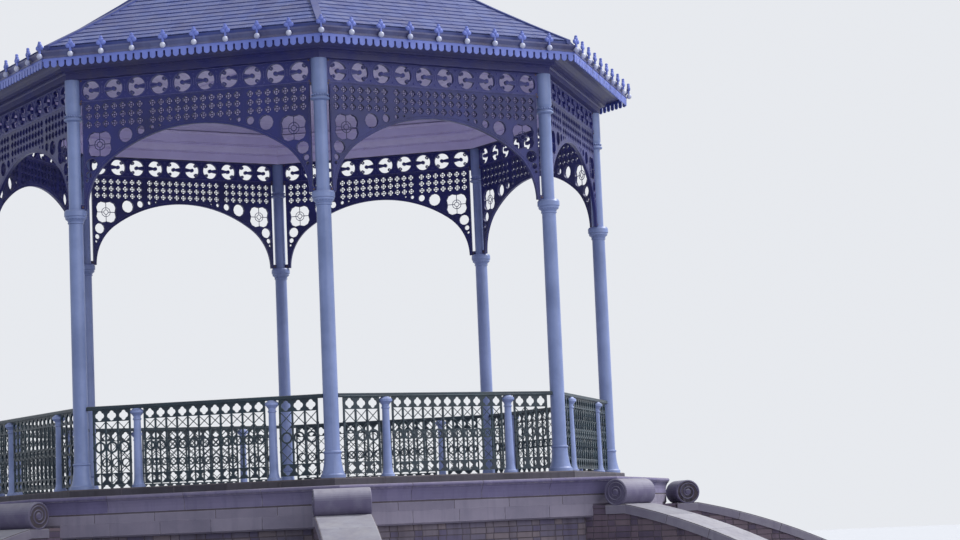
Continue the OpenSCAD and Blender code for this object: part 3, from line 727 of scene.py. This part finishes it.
# Stones that run round the stand, as outlines of (distance from the centre, height from the floor): the moulded edge,
# coloured darker as painted shade under the nosing, the paler band and string course under it, and the kerb. The string
# course runs from one buttress to the next
stoneRun = {"edgeStones": 4, "kerbStones": 5, "courseStones": 5, "gap": 0.005, "chamfer": 0.004, "proud": 0.003,
            "cove": 0.045, "coveDeep": 0.1, "split": 0.215, "joint": 0.006, "nib": 0.01, "kerbNib": 0.012}
nose, kerbHigh, kerbNib = plan["nosing"], plan["kerbHigh"], stoneRun["kerbNib"]
cove, coveDeep, split, nib = (stoneRun[word] for word in ("cove", "coveDeep", "split", "nib"))
bandTop, edgeLow, courseLow = -split - stoneRun["joint"], -plan["edgeHeight"], -plan["edgeHeight"] - plan["courseHigh"]
kerbOut, kerbIn = columnA + plan["kerbWide"] / 2, columnA - plan["kerbWide"] / 2
edgeProfile = [(slabA, 0.0), (edgeA - nose / 2, 0.0)] + arcLine(edgeA - nose / 2, -nose / 2, nose / 2, 75, -75, 4) + [
    (edgeA - nose / 2, -nose), (fasciaA + cove, -nose - 0.005), (fasciaA + 0.55 * cove, -nose - 0.25 * coveDeep),
    (fasciaA + 0.2 * cove, -nose - 0.6 * coveDeep), (fasciaA, -nose - coveDeep), (fasciaA, nib - split),
    (fasciaA - nib, -split), (slabA, -split)]
bandProfile = [(slabA, bandTop), (fasciaA - nib, bandTop), (fasciaA, bandTop - nib), (fasciaA, edgeLow + 0.03),
               (fasciaA - 0.02, edgeLow), (slabA, edgeLow)]
courseProfile = [(wallA - 0.005, edgeLow), (fasciaA - 0.022, edgeLow), (fasciaA - 0.001, edgeLow + 0.028),
                 (fasciaA - 0.001, courseLow + 0.02), (fasciaA - 0.03, courseLow), (wallA - 0.005, courseLow)]
kerbProfile = [(kerbIn, 0.0), (kerbOut, 0.0), (kerbOut, kerbHigh - kerbNib), (kerbOut - kerbNib, kerbHigh),
               (kerbIn + kerbNib, kerbHigh), (kerbIn, kerbHigh - kerbNib)]


def stonesRound(profile, count, seed, back=0.0):
    outline = grown(profile, stoneRun["proud"])
    wide = max(p[0] for p in profile) * slant - back
    half, chamfer = stoneRun["gap"] / 2, stoneRun["chamfer"]
    for k in everyBay:
        turn = toBay(k)

        def station(x, mitre=0):
            return [turn @ Vector((mitre * (a * slant - back) if mitre else x, -a, floorZ + z)) for a, z in outline]

        for i in range(count):
            x0 = -wide + 2 * wide * i / count + half
            x1 = -wide + 2 * wide * (i + 1) / count - half
            rings = [station(0, -1)] if i == 0 else [shrunk(station(x0), chamfer), station(x0 + chamfer)]
            rings += [station(0, 1)] if i == count - 1 else [station(x1 - chamfer), shrunk(station(x1), chamfer)]
            yield rings, spread(k, i, seed)


print("stones")
edges, courses, kerbs = (stoneRun[word] for word in ("edgeStones", "courseStones", "kerbStones"))
buildPiece("edgeStones", stonesRound(edgeProfile, edges, 2), "edge")
buildPiece("bandStones", stonesRound(bandProfile, courses, 3), "band")
buildPiece("stringCourse", stonesRound(courseProfile, courses, 6, buttressHalf / cos(halfTurn)), "band")
buildPiece("kerbStones", stonesRound(kerbProfile, kerbs, 4), "kerb")

# Floor tiles inside the kerb, laid on the slant, with a border, and flags on the ledge outside it
tiles = {"size": 0.3, "joint": 0.006, "border": 0.26, "long": 0.5, "proud": 0.005, "sunk": 0.004, "chamfer": 0.002,
         "least": 0.001}


def floorTiles():
    size, joint = tiles["size"], tiles["joint"]
    inner = kerbIn - joint

    def laid(outline, turn):
        return blockRings(outline, lambda x, y, h: turn @ Vector((x, y, floorZ + h)), tiles)

    reachR = (inner - tiles["border"] - joint) / cos(halfTurn)
    field = [polar(reachR, halfTurn + 2 * halfTurn * i) for i in range(bays)]
    n, t = ceil(1.5 * inner / size), size - joint
    c, s = cos(pi / 4), sin(pi / 4)
    for i in range(-n, n):
        for j in range(-n, n):
            x, y = i * size, j * size
            square = [(c * u - s * v, s * u + c * v) for u, v in ((x, y), (x + t, y), (x + t, y + t), (x, y + t))]
            outline = cutOutline(square, field)
            if len(outline) > 2 and outlineArea(outline) > tiles["least"]:
                yield laid(outline, Matrix.Identity(4)), 0.15 * spread(i, j) + (0.75 if (i + j) % 2 else 0.05)
    for a0, a1 in ((inner - tiles["border"], inner), (kerbOut + joint, slabA - joint)):
        w0, w1 = a0 * slant, a1 * slant
        region = [(-w1 + joint / 2, -a1), (w1 - joint / 2, -a1), (w0 - joint / 2, -a0), (-w0 + joint / 2, -a0)]
        count = round(2 * w1 / tiles["long"])
        p = 2 * w1 / count
        for i in range(count):
            x = -w1 + i * p
            x0, x1 = x + joint / 2, x + p - joint / 2
            outline = cutOutline([(x0, -a1), (x1, -a1), (x1, -a0), (x0, -a0)], region)
            if len(outline) > 2:
                for k in everyBay:
                    yield laid(outline, toBay(k)), 0.3 + 0.3 * spread(i, k)


buildPiece("floorTiles", floorTiles(), "floor")

# Roof covering: courses of painted metal tiles that follow the curve of the roof
roof = {"pitch": radians(28), "pitchTop": radians(37), "thick": 0.06, "topA": 0.11, "setBack": 0.096, "exposure": 0.165,
        "tile": 0.24, "joint": 0.004, "tilt": 0.010, "wobble": 0.002, "proud": 0.007, "sunk": 0.004, "chamfer": 0.002,
        "least": 0.0003, "eave": 0.004, "capA": 0.06}
roofA = gutterA - roof["setBack"]
roofZ = beamTop + roof["thick"]


def roofRise(a):
    deep = roofA - roof["topA"]
    u = (roofA - a) / deep
    return deep * (tan(roof["pitch"]) * u + (tan(roof["pitchTop"]) - tan(roof["pitch"])) * u * u / 2)


def roofTiles():
    a, course, e = roofA - roof["eave"], 0, roof["exposure"]
    while a > roof["topA"] + roof["capA"]:
        pitch = atan2(roofRise(a - 0.1) - roofRise(a), 0.1)
        b = a - e * cos(pitch)
        wide = 2 * a * slant
        count = max(1, round(wide / roof["tile"]))
        p = wide / count
        region = [(-a * slant, 0.0), (a * slant, 0.0), (b * slant, e), (-b * slant, e)]
        for i in range(-1, count + 1):
            x0 = -wide / 2 + (i + 0.5 * (course % 2)) * p
            x1 = x0 + p - roof["joint"]
            outline = cutOutline([(x0, 0.0), (x1, 0.0), (x1, e), (x0, e)], region)
            if len(outline) < 3 or outlineArea(outline) < roof["least"]:
                continue
            for k in everyBay:
                turn = toBay(k)
                lift = roof["tilt"] + roof["wobble"] * spread(k, i, course)

                def onSlope(x, v, h):
                    along, out = a + (b - a) * v / e, h + lift * (1 - v / e)
                    under = Vector((x, -along, floorZ + roofZ + roofRise(along)))
                    return turn @ (under + out * Vector((0.0, -sin(pitch), cos(pitch))))

                yield blockRings(outline, onSlope, roof), spread(i, k, course)
        a, course = b, course + 1


print("roof covering")
buildPiece("roofTiles", roofTiles(), "tile")

# Ceiling boards with open joints, ribs under the hips and a turned rose at the centre, as (radius, height) from the top
ceiling = {"rise": 0.52, "cornice": 0.44, "board": 0.125, "joint": 0.007, "beamHalf": 0.105, "inset": 0.152,
           "sunk": 0.004, "proud": 0.008, "chamfer": 0.003, "rib": 0.035, "ribOut": 0.15, "ribIn": 0.12,
           "roseSides": 48, "rose": [(0.002, 0.0), (0.24, 0.0), (0.26, -0.05), (0.22, -0.07), (0.2, -0.065),
                                     (0.12, -0.08), (0.08, -0.12), (0.045, -0.14), (0.05, -0.17), (0.02, -0.2)]}
ceilingA = columnA - ceiling["beamHalf"] - 0.0003


def ceilingUnder(a):
    return floorZ + friezeTop + ceiling["cornice"] + ceiling["rise"] * (1 - a / ceilingA)


def ceilingBoards():
    outer = ceilingA - ceiling["inset"]
    for i in range(int(outer / ceiling["board"])):
        a0 = outer - i * ceiling["board"]
        a1 = max(a0 - ceiling["board"] + ceiling["joint"], 0.02)
        outline = [(-a0 * slant, -a0), (a0 * slant, -a0), (a1 * slant, -a1), (-a1 * slant, -a1)]
        for k in everyBay:
            turn = toBay(k)
            rings = blockRings(outline, lambda x, y, h: turn @ Vector((x, y, ceilingUnder(-y) - h)), ceiling)
            yield rings, spread(i, k)


def ceilingRibs():
    w = ceiling["rib"]
    section = [(-w, 0.004), (-w, -0.02), (-0.6 * w, -0.034), (0.6 * w, -0.034), (w, -0.02), (w, 0.004)]
    for k in everyBay:
        turn = toCorner(k)
        yield [[turn @ Vector((a / cos(halfTurn), y, ceilingUnder(a) + h)) for y, h in section]
               for a in (ceilingA - ceiling["ribOut"], ceiling["ribIn"])], 0.5
    yield [[(u, v, ceilingUnder(0.0) + z) for u, v in circleLine(0.0, 0.0, r, ceiling["roseSides"])]
           for r, z in ceiling["rose"]], 0.5


buildPiece("ceilingBoards", ceilingBoards(), "board")
buildPiece("ceilingRibs", ceilingRibs(), "cream")

# Raised work on the iron castings: beads along the scrolls, rims round the holes, tracery in them, buds and bosses
iron = {"thick": 0.04, "bar": 0.024, "die": 0.2, "panels": 10, "rib": 0.045, "stileOut": 0.13, "laceBar": 0.03,
        "web": 0.022, "rows": 3, "seat": 0.0003, "curl": 0.42, "curlTurn": radians(48), "bead": 0.006, "rim": 0.0038,
        "tracery": 0.0055, "rimOut": 0.0035, "bud": 0.026, "boss": 0.016, "budThick": 0.010, "ringOut": 0.008,
        "curlOut": 0.003, "curlBack": 0.004, "tie": 0.02, "dash": 0.045, "bossUp": 0.1, "edgeIn": 0.006,
        "archIn": 0.007, "lobeOut": 0.23, "lobe": 0.27, "lobeTurn": 76, "ringShare": 0.19, "tieShare": 0.39,
        "cornerShares": (0.42, 0.21, 0.11), "crownShares": (0.5, 0.28, 0.155, 0.083)}


def onFace(k, face, x, z):
    return toBay(k) @ Vector((x, -columnA - face * iron["thick"] / 2, floorZ + z))


friezeWide = plan["bayWidth"] - iron["die"] - 2 * iron["seat"]
friezeMid = laceTop + plan["friezeHigh"] / 2


def friezeDrawing():
    lines, buds, bosses = [], [], []
    bar, pitch = iron["bar"], friezeWide / iron["panels"]
    scrollR = plan["friezeHigh"] / 2 - bar
    curl = iron["curl"] * scrollR
    ring = (curl - 0.6 * bar) / 2 + iron["curlOut"]
    back = scrollR + iron["curlBack"] - curl / 2
    strokes = [(circleLine(0, 0, scrollR + iron["ringOut"], 24), True)]
    strokes += [([(-scrollR, s * bar), (-iron["tie"], s * 0.3 * bar)], False) for s in (1, -1)]
    strokes += [(circleLine(*polar(back, s * iron["curlTurn"]), ring, 9), True) for s in (-1, 1)]
    for i in range(iron["panels"]):
        x = (i + 0.5 - iron["panels"] / 2) * pitch
        way = 1 if i % 2 else -1
        lines += [([(x + way * u, friezeMid + v) for u, v in stroke], closed) for stroke, closed in strokes]
        buds.append((x, friezeMid))
    for i in range(1, iron["panels"]):
        x = (i - iron["panels"] / 2) * pitch
        lines.append(([(x, friezeMid + s * iron["dash"]) for s in (-1, 1)], False))
        bosses += [(x, friezeMid + s * iron["bossUp"]) for s in (-1, 1)]
    for z in (laceTop + iron["edgeIn"], friezeTop - iron["edgeIn"]):
        lines.append(([(-friezeWide / 2, z), (friezeWide / 2, z)], False))
    return lines, buds, bosses


def quatrefoilLine(cx, cz, d, turn=0.0):
    line = []
    for base in range(0, 360, 90):
        x, z = polar(iron["lobeOut"] * d, radians(turn + base), cx, cz)
        lobe, half = iron["lobe"] * d + iron["rimOut"], iron["lobeTurn"]
        line += arcLine(x, z, lobe, turn + base - half, turn + base + half, 4)
    return line


# Finer tracery inside a hole: a small ring tied to the four points between the lobes
def traceryLines(cx, cz, d, turn=0.0):
    inner, outer = iron["ringShare"] * d, iron["tieShare"] * d
    ties = [([polar(r, radians(a + turn), cx, cz) for r in (inner, outer)], False) for a in (45, 135, 225, 315)]
    return [(circleLine(cx, cz, inner, 10), True)] + ties


# Straight rows over the crown and beside it, shrinking holes along the three-centred arch, and a big corner quatrefoil
def laceDrawing():
    lines, tracery = [], []
    rise, r, rib, web, bar = plan["archRise"], plan["archRadius"], iron["rib"], iron["web"], iron["laceBar"]
    springX = halfBay - iron["stileOut"]
    haunchX = springX - rib - r
    crownR = (haunchX ** 2 + rise ** 2 - r ** 2) / 2 / (rise - r)
    crownZ = rise - crownR
    splitX = 0.9 * haunchX
    rowLow = plan["crown"] + rib
    rowHigh = (plan["laceHigh"] - rib - bar) / iron["rows"]
    edge = splitX - iron["seat"] / 2 - bar
    for x0, x1, sides in ((-edge, edge, (1,)), (splitX + bar, springX - bar, (1, -1))):
        n = max(1, round((x1 - x0) / rowHigh))
        p = (x1 - x0) / n
        d = min(p, rowHigh) - web
        for i in range(n):
            for j in range(iron["rows"]):
                for s in sides:
                    spot = (s * (x0 + (i + 0.5) * p), rowLow + (j + 0.5) * rowHigh, d)
                    lines.append((quatrefoilLine(*spot), True))
                    tracery += traceryLines(*spot)
    rim = r + rib + web / 2
    kx, kz = springX - haunchX - bar, rowLow - springZ - web / 2
    total = kx + kz + rim
    big = total - sqrt(total * total - kx * kx - kz * kz + rim * rim)

    # How far along a straight side a hole of radius q sits that touches it and the rib
    def beside(ribR, k, q):
        return sqrt((ribR + k) * (ribR - k + 2 * q))

    holes = [(haunchX + kx - q, beside(rim, kx, q), q) for q in (share * big for share in iron["cornerShares"])]
    holes += [(beside(crownR + rib + web / 2, kz - crownZ, q), kz - q, q)
              for q in (share * big for share in iron["crownShares"])]
    for s in (1, -1):
        cx, cz, d = s * (haunchX + kx - big), springZ + kz - big, 2 * big - web / 2
        lines.append((quatrefoilLine(cx, cz, d, 45), True))
        tracery += traceryLines(cx, cz, d, 45) + traceryLines(cx, cz, 0.5 * d, 45)
        lines += [(circleLine(s * x, springZ + z, q - 0.002 + iron["rimOut"], 12), True) for x, z, q in holes]
    meet = degrees(atan2(-crownZ, haunchX))
    for out in (iron["archIn"], rib - iron["archIn"]):
        arch = arcLine(haunchX, springZ, r + out, 0, meet, 12)
        arch += arcLine(0, springZ + crownZ, crownR + out, meet, 90, 10)[1:]
        lines.append((arch + [(-u, v) for u, v in arch[-2::-1]], False))
    for x in (springX - bar / 2, bar / 2 - springX):
        lines.append(([(x, springZ + 0.01), (x, laceTop - 0.01)], False))
    lines.append(([(-springX, laceTop - bar / 2), (springX, laceTop - bar / 2)], False))
    return lines, tracery


def ballMesh(name, around, along):
    bm = bmesh.new()
    bmesh.ops.create_uvsphere(bm, u_segments=around, v_segments=along, radius=1.0)
    mesh = toMesh(name, bm)
    for poly in mesh.polygons:
        poly.use_smooth = True
    return mesh


# The bolt is a six-sided nut on a washer, as (height, radius)
nut = ((-0.4, 1.35), (0.12, 1.35), (0.16, 1.25), (0.16, 1.0), (0.72, 1.0), (0.86, 0.86))
ball, bead = ballMesh("ball", 14, 8), ballMesh("bead", 10, 6)
bolt = solidMesh("bolt", [([[(x, y, z) for x, y in circleLine(0.0, 0.0, r, 6)] for z, r in nut], 0.0)], False)

print("relief on the castings")
friezeLines, friezeBuds, friezeBosses = friezeDrawing()
laceLines, laceTracery = laceDrawing()


def inAllBays(lines, face):
    return [([onFace(k, face, x, z) for x, z in line], closed) for line, closed in lines for k in everyBay]


for face, word in ((1, "Outer"), (-1, "Inner")):
    beadOnLines("friezeBeads" + word, inAllBays(friezeLines, face), iron["bead"], 6, "relief")
    beadOnLines("laceRims" + word, inAllBays(laceLines, face), iron["rim"], 4, "lace")
beadOnLines("laceTracery", inAllBays(laceTracery, 0), iron["tracery"], 4, "lace")
budSpots = [(Matrix.Translation(onFace(k, face, x, z)) @ toBay(k), (size, iron["budThick"], size))
            for k in everyBay for face in (1, -1)
            for places, size in ((friezeBuds, iron["bud"]), (friezeBosses, iron["boss"])) for x, z in places]
setOnPoints("friezeBuds", bead, budSpots, "relief", seed=3)

# Crest along the gutter: a bright ball at the foot of each leaf, and lobes on both sides of the leaf itself
crest = {"spaces": 9, "high": 0.22, "thick": 0.022, "ball": 0.037, "ballUp": 0.12, "ballOut": 0.7, "lobe": 0.06,
         "lobeThick": 0.010, "lobeShare": 0.44, "sideUp": 0.66, "midUp": 0.84, "tip": 0.034}
crestZ = floorZ + beamTop - plan["gutterHigh"]
crestPitch = 2 * gutterA * slant / crest["spaces"]
crestStem = crest["high"] - crest["tip"] / 2
crestFrames = [toBay(k) @ Matrix.Translation(((i - crest["spaces"] / 2) * crestPitch, -gutterA, 0))
               for k in everyBay for i in range(1, crest["spaces"])]
crestFrames += [toCorner(k) @ Matrix.Translation((gutterA / cos(halfTurn), 0, 0)) @ Matrix.Rotation(pi / 2, 4, "Z")
                for k in everyBay]
wide, leaf, sideZ = crest["lobe"] / 2, crest["lobeShare"] * crest["lobe"], crest["sideUp"] * crestStem
lobes = ((-wide, sideZ, leaf), (wide, sideZ, leaf), (0, crest["midUp"] * crestStem, leaf),
         (0, crestStem, crest["lobeShare"] * crest["tip"]))
ballPlace = Matrix.Translation((0, -crest["thick"] * crest["ballOut"], crestZ + crest["ballUp"] * crest["high"]))
setOnPoints("crestBalls", ball, [(place @ ballPlace, (crest["ball"],) * 3) for place in crestFrames],
            "ball", seed=9)
setOnPoints("crestLobes", bead, [
    (place @ Matrix.Translation((x, -crest["thick"] * side, crestZ + z)), (r, crest["lobeThick"], r))
    for place in crestFrames for x, z, r in lobes for side in (0, 1)], "trim", seed=9)

# Balls round the collars of the columns, and bolts where the castings meet the columns
collar = {"beads": 20, "bead": 0.012, "rings": ((0.118, springZ - 0.112), (0.101, laceTop - 0.175)), "bolt": 0.011,
          "bolts": ((springZ + 0.03, 0.112), (laceTop - 0.02, 0.112),
                    (laceTop + 0.012, 0.124), (friezeTop - 0.012, 0.124))}
beadSpots = [(toCorner(k) @ Matrix.Translation((*polar(r, 2 * pi * i / collar["beads"], columnR), floorZ + z)),
              (collar["bead"],) * 3) for k in everyBay for i in range(collar["beads"]) for r, z in collar["rings"]]
boltSpots = [(Matrix.Translation(onFace(k, face, s * (halfBay - inside), z)) @ toBay(k) @
              Matrix.Rotation(face * pi / 2, 4, "X"), (collar["bolt"],) * 3)
             for k in everyBay for face in (1, -1) for s in (-1, 1) for z, inside in collar["bolts"]]
setOnPoints("collarBeads", bead, beadSpots, "post", seed=2)
setOnPoints("castingBolts", bolt, boltSpots, "bolt", seed=2)

# Railings: knops on each upright bar, slanting bars between them, and a bead under the handrail
railing = {"top": 1.14, "deep": 0.05, "wide": 0.07, "postOut": 0.76, "cap": 0.172, "gap": 0.05, "bar": 0.020,
           "pitch": 0.15, "foot": 0.31, "shaft": 0.19, "seat": 0.004, "slant": 0.0055, "bead": 0.008,
           "beadUp": 0.012, "knop": (0.019, 0.019, 0.022), "knops": (0.0, -0.17, 0.17)}
postX = halfBay - railing["postOut"]
outerX = halfBay - railing["foot"] / 2 + railing["cap"] / 2 - 2 * railing["seat"]
railX = halfBay - railing["shaft"] / 2 - railing["seat"] / 2
railZ = railing["top"] - railing["deep"]
knopSpots, railLines, slantLines = [], [], []
for k in everyBay:
    turn = toBay(k)
    for x0, x1 in ((-postX, postX), (postX, outerX), (-outerX, -postX)):
        a, b = x0 + railing["cap"] / 2 + railing["seat"], x1 - railing["cap"] / 2 - railing["seat"]
        n = max(2, round((b - a - railing["bar"]) / railing["pitch"]))
        p = (b - a - railing["bar"]) / n
        band = 0.8 * p + railing["bar"]
        low, high = kerbHigh + railing["gap"] + band, railZ - band
        rows = round((high - low) / p)
        bars = [a + i * p + railing["bar"] / 2 for i in range(n + 1)]
        knopSpots += [(turn @ Matrix.Translation((x, -columnA, floorZ + (low + high) / 2 + z)), railing["knop"])
                      for x in bars for z in railing["knops"]]
        for left, right in zip(bars, bars[1:]):
            for j in range(rows):
                z0, z1 = low + (high - low) * j / rows, low + (high - low) * (j + 1) / rows
                slantLines += [([turn @ Vector((x, -columnA, floorZ + z)) for x, z in ends], False)
                               for ends in (((left, z0), (right, z1)), ((left, z1), (right, z0)))]
    for face in (-1, 1):
        railLines.append(([turn @ Vector((x, -columnA - face * railing["wide"] / 2, floorZ + railZ + railing["beadUp"]))
                           for x in (-railX, railX)], False))
setOnPoints("railKnops", bead, knopSpots, "rail", seed=4)
beadOnLines("railBeads", railLines, railing["bead"], 6, "rail")
beadOnLines("railSlants", slantLines, railing["slant"], 4, "rail")

# Camera at the place that the picture was taken from
view = {"place": (10.408, -31.431, 1.576), "yaw": -0.243054, "pitch": 0.105776, "roll": -0.042441, "lens": 88.053,
        "sensor": 36.0, "far": 500.0}
camera = bpy.data.objects.new("camera", bpy.data.cameras.new("camera"))
scene.collection.objects.link(camera)
scene.camera = camera
camera.data.lens = view["lens"]
camera.data.sensor_width = view["sensor"]
camera.data.clip_end = view["far"]
yaw, pitch, roll = view["yaw"], view["pitch"], view["roll"]
ahead = Vector((sin(yaw) * cos(pitch), cos(yaw) * cos(pitch), sin(pitch)))
side = Vector((cos(yaw), -sin(yaw), 0.0))
upward = side.cross(ahead)
right = cos(roll) * side + sin(roll) * upward
top = -sin(roll) * side + cos(roll) * upward
camera.matrix_world = Matrix.Translation(view["place"]) @ Matrix((right, top, -ahead)).transposed().to_4x4()

# Plain floor, plain sky and soft light; the floor is paler where it is seen than where it throws light back
light = {"sky": 0.5, "tint": (0.84, 0.90, 1.0, 1.0), "pale": (0.80, 0.82, 0.86, 1.0), "ground": (0.66, 0.67, 0.70, 1.0),
         "bounce": (0.34, 0.35, 0.38, 1.0), "groundHalf": 120.0, "groundZ": -0.002, "groundRough": 0.9}
suns = {
    "sun": {"power": 3.0, "spread": 8.0, "turn": (42.0, 0.0, 126.0)},
    "fill": {"power": 1.15, "spread": 60.0, "turn": (80.0, 0.0, 58.0)},
}
for name, values in suns.items():
    sun = bpy.data.objects.new(name, bpy.data.lights.new(name, "SUN"))
    scene.collection.objects.link(sun)
    sun.data.energy = values["power"]
    sun.data.angle = radians(values["spread"])
    sun.rotation_euler = [radians(a) for a in values["turn"]]


def seenBy(tree, first, *others):
    ray = tree.nodes.new("ShaderNodeLightPath").outputs
    seen = ray[first]
    for word in others:
        seen = combine(tree, seen, ray[word], "MAXIMUM")
    return seen


world = bpy.data.worlds.new("plainSky")
scene.world = world
world.use_nodes = True
sky = world.node_tree
sky.nodes.clear()
soft = put(sky, "ShaderNodeBackground", {"Color": light["tint"], "Strength": light["sky"]}).outputs[0]
plain = put(sky, "ShaderNodeBackground", {"Color": light["pale"], "Strength": 1.0}).outputs[0]
looked = seenBy(sky, "Is Camera Ray", "Is Glossy Ray", "Is Transmission Ray")
blend = put(sky, "ShaderNodeMixShader", {0: looked, 1: soft, 2: plain})
put(sky, "ShaderNodeOutputWorld", {"Surface": blend.outputs[0]})

half = light["groundHalf"]
ground = bpy.data.meshes.new("ground")
ground.from_pydata([(x, y, light["groundZ"]) for x, y in ((-half, -half), (half, -half), (half, half), (-half, half))],
                   [], [(0, 1, 2, 3)])
groundPiece = bpy.data.objects.new("ground", ground)
scene.collection.objects.link(groundPiece)
groundMaterial, groundTree = startFinish("plainFloor")
groundShader = groundTree.nodes["Principled BSDF"]
groundSeen = seenBy(groundTree, "Is Camera Ray", "Is Glossy Ray")
groundColour = blendColour(groundTree, groundSeen, light["bounce"], light["ground"])
groundTree.links.new(groundColour, groundShader.inputs["Base Color"])
groundShader.inputs["Roughness"].default_value = light["groundRough"]
ground.materials.append(groundMaterial)

scene.view_settings.view_transform = "Standard"
